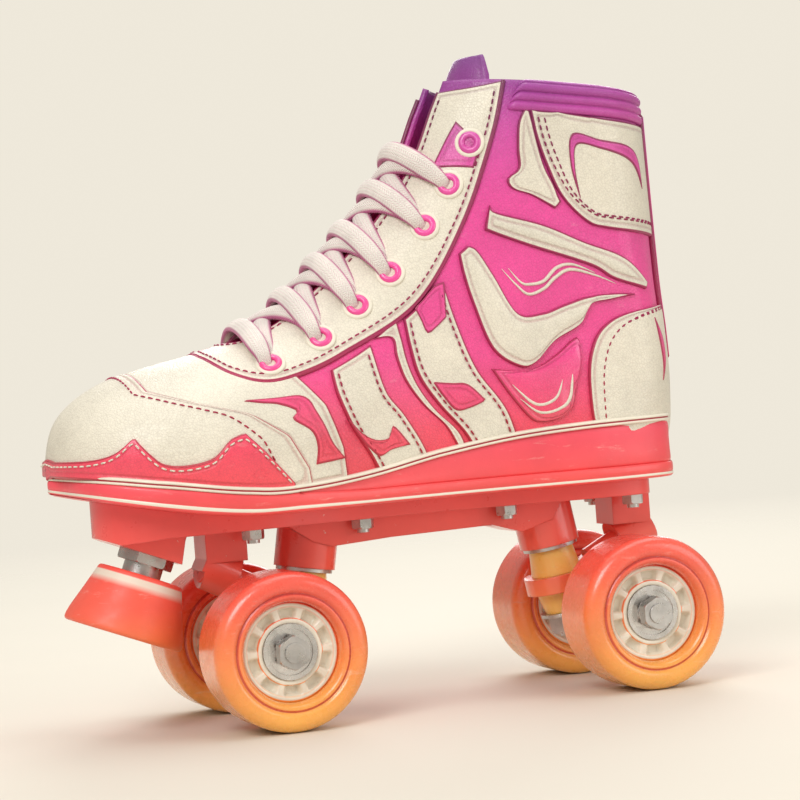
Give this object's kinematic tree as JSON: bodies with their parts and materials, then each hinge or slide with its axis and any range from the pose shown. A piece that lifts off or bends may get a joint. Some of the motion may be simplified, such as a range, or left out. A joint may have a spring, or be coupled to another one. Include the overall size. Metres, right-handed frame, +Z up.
{
  "type": "quad roller skate",
  "caption": "High laced boot on a plate with steering trucks, wheels on ball bearings and a slanted toe stop; the trucks steer, the wheels spin and the stop adjusts.",
  "frame": {"origin": "centre of the footprint on the ground under the wheels", "axes": "+X towards the heel along the skate, +Z up, +Y towards the inner side of the left foot, parallel to the axles"},
  "size_m": [0.2626, 0.112, 0.264],
  "materials": {
    "pink_leather": "smooth painted leather, hot pink",
    "cream_leather": "smooth cream leather",
    "purple_leather": "soft purple leather over foam",
    "lining_fabric": "brushed textile over foam",
    "coral_sole": "moulded sole, satin coral",
    "cream_welt": "cream foxing",
    "board": "lasting board",
    "footbed_foam": "textile covered foam",
    "plate_paint": "coral painted cast aluminium",
    "steel": "zinc plated steel",
    "hanger_paint": "coral painted cast aluminium",
    "cushion_urethane": "amber urethane",
    "cup_urethane": "cream urethane",
    "wheel_urethane": "poured urethane, coral to orange",
    "hub_plastic": "cream moulded nylon",
    "bearing_steel": "shielded ball bearing",
    "stop_rubber": "coral rubber",
    "lace_cotton": "cream woven lace",
    "eyelet_metal": "pink painted eyelets"
  },
  "bodies": {
    "boot_and_plate": {"outsole": "coral_sole", "heel_wedge": "coral_sole", "welt": "cream_welt", "insole_board": "board", "footbed": "footbed_foam", "vamp": "pink_leather", "quarter_lateral": "pink_leather", "quarter_medial": "pink_leather", "lining": "lining_fabric", "tongue": "purple_leather", "toe_cap": "cream_leather", "heel_counter": "cream_leather", "collar_patch": "cream_leather", "collar_band": "purple_leather", "backstay": "pink_leather", "eyestay_lateral": "cream_leather", "eyestay_medial": "cream_leather", "side_stripes_lateral": "cream_leather", "side_stripes_medial": "cream_leather", "ankle_panels_lateral": "cream_leather", "ankle_panels_medial": "cream_leather", "eyelets": "eyelet_metal", "lace": "lace_cotton", "plate": "plate_paint", "mounting_bolts": "steel", "mounting_nuts": "steel", "toe_stop_nut": "steel", "pivot_cup_front": "cup_urethane", "kingpin_front": "steel", "kingpin_nut_front": "steel", "cushions_front": "cushion_urethane", "cushion_washers_front": "steel", "pivot_cup_rear": "cup_urethane", "kingpin_rear": "steel", "kingpin_nut_rear": "steel", "cushions_rear": "cushion_urethane", "cushion_washers_rear": "steel"},
    "truck_front": {"hanger_front": "hanger_paint", "axle_front": "steel", "axle_nuts_front": "steel", "bearing_inner_rings_front": "bearing_steel"},
    "truck_rear": {"hanger_rear": "hanger_paint", "axle_rear": "steel", "axle_nuts_rear": "steel", "bearing_inner_rings_rear": "bearing_steel"},
    "wheel_front_lateral": {"tyre_front_lateral": "wheel_urethane", "hub_front_lateral": "hub_plastic", "bearings_front_lateral": "bearing_steel"},
    "wheel_front_medial": {"tyre_front_medial": "wheel_urethane", "hub_front_medial": "hub_plastic", "bearings_front_medial": "bearing_steel"},
    "wheel_rear_lateral": {"tyre_rear_lateral": "wheel_urethane", "hub_rear_lateral": "hub_plastic", "bearings_rear_lateral": "bearing_steel"},
    "wheel_rear_medial": {"tyre_rear_medial": "wheel_urethane", "hub_rear_medial": "hub_plastic", "bearings_rear_medial": "bearing_steel"},
    "toe_stop": {"toe_stop_pad": "stop_rubber", "toe_stop_stem": "steel"}
  },
  "joints": [
    {"name": "truck_steer_front", "type": "hinge", "parent": "boot_and_plate", "child": "truck_front", "pos_m": [-0.03413, 0, 0.0435], "axis": [-0.889, 0, 0.458], "range_deg": [-8, 8], "stiffness_Nm_per_rad": 14, "deforming": ["cushions_front"]},
    {"name": "truck_steer_rear", "type": "hinge", "parent": "boot_and_plate", "child": "truck_rear", "pos_m": [0.07896, 0, 0.0435], "axis": [0.889, 0, 0.458], "range_deg": [-8, 8], "stiffness_Nm_per_rad": 14, "deforming": ["cushions_rear"]},
    {"name": "wheel_spin_front_lateral", "type": "hinge", "parent": "truck_front", "child": "wheel_front_lateral", "pos_m": [-0.05414, -0.0395, 0.031], "axis": [0, 1, 0], "continuous": true},
    {"name": "wheel_spin_front_medial", "type": "hinge", "parent": "truck_front", "child": "wheel_front_medial", "pos_m": [-0.05414, 0.0395, 0.031], "axis": [0, 1, 0], "continuous": true},
    {"name": "wheel_spin_rear_lateral", "type": "hinge", "parent": "truck_rear", "child": "wheel_rear_lateral", "pos_m": [0.09896, -0.0395, 0.031], "axis": [0, 1, 0], "continuous": true},
    {"name": "wheel_spin_rear_medial", "type": "hinge", "parent": "truck_rear", "child": "wheel_rear_medial", "pos_m": [0.09896, 0.0395, 0.031], "axis": [0, 1, 0], "continuous": true},
    {"name": "toe_stop_height", "type": "slide", "parent": "boot_and_plate", "child": "toe_stop", "axis": [-0.3746, 0, -0.9272], "range_m": [-0.003, 0.005]}
  ]
}
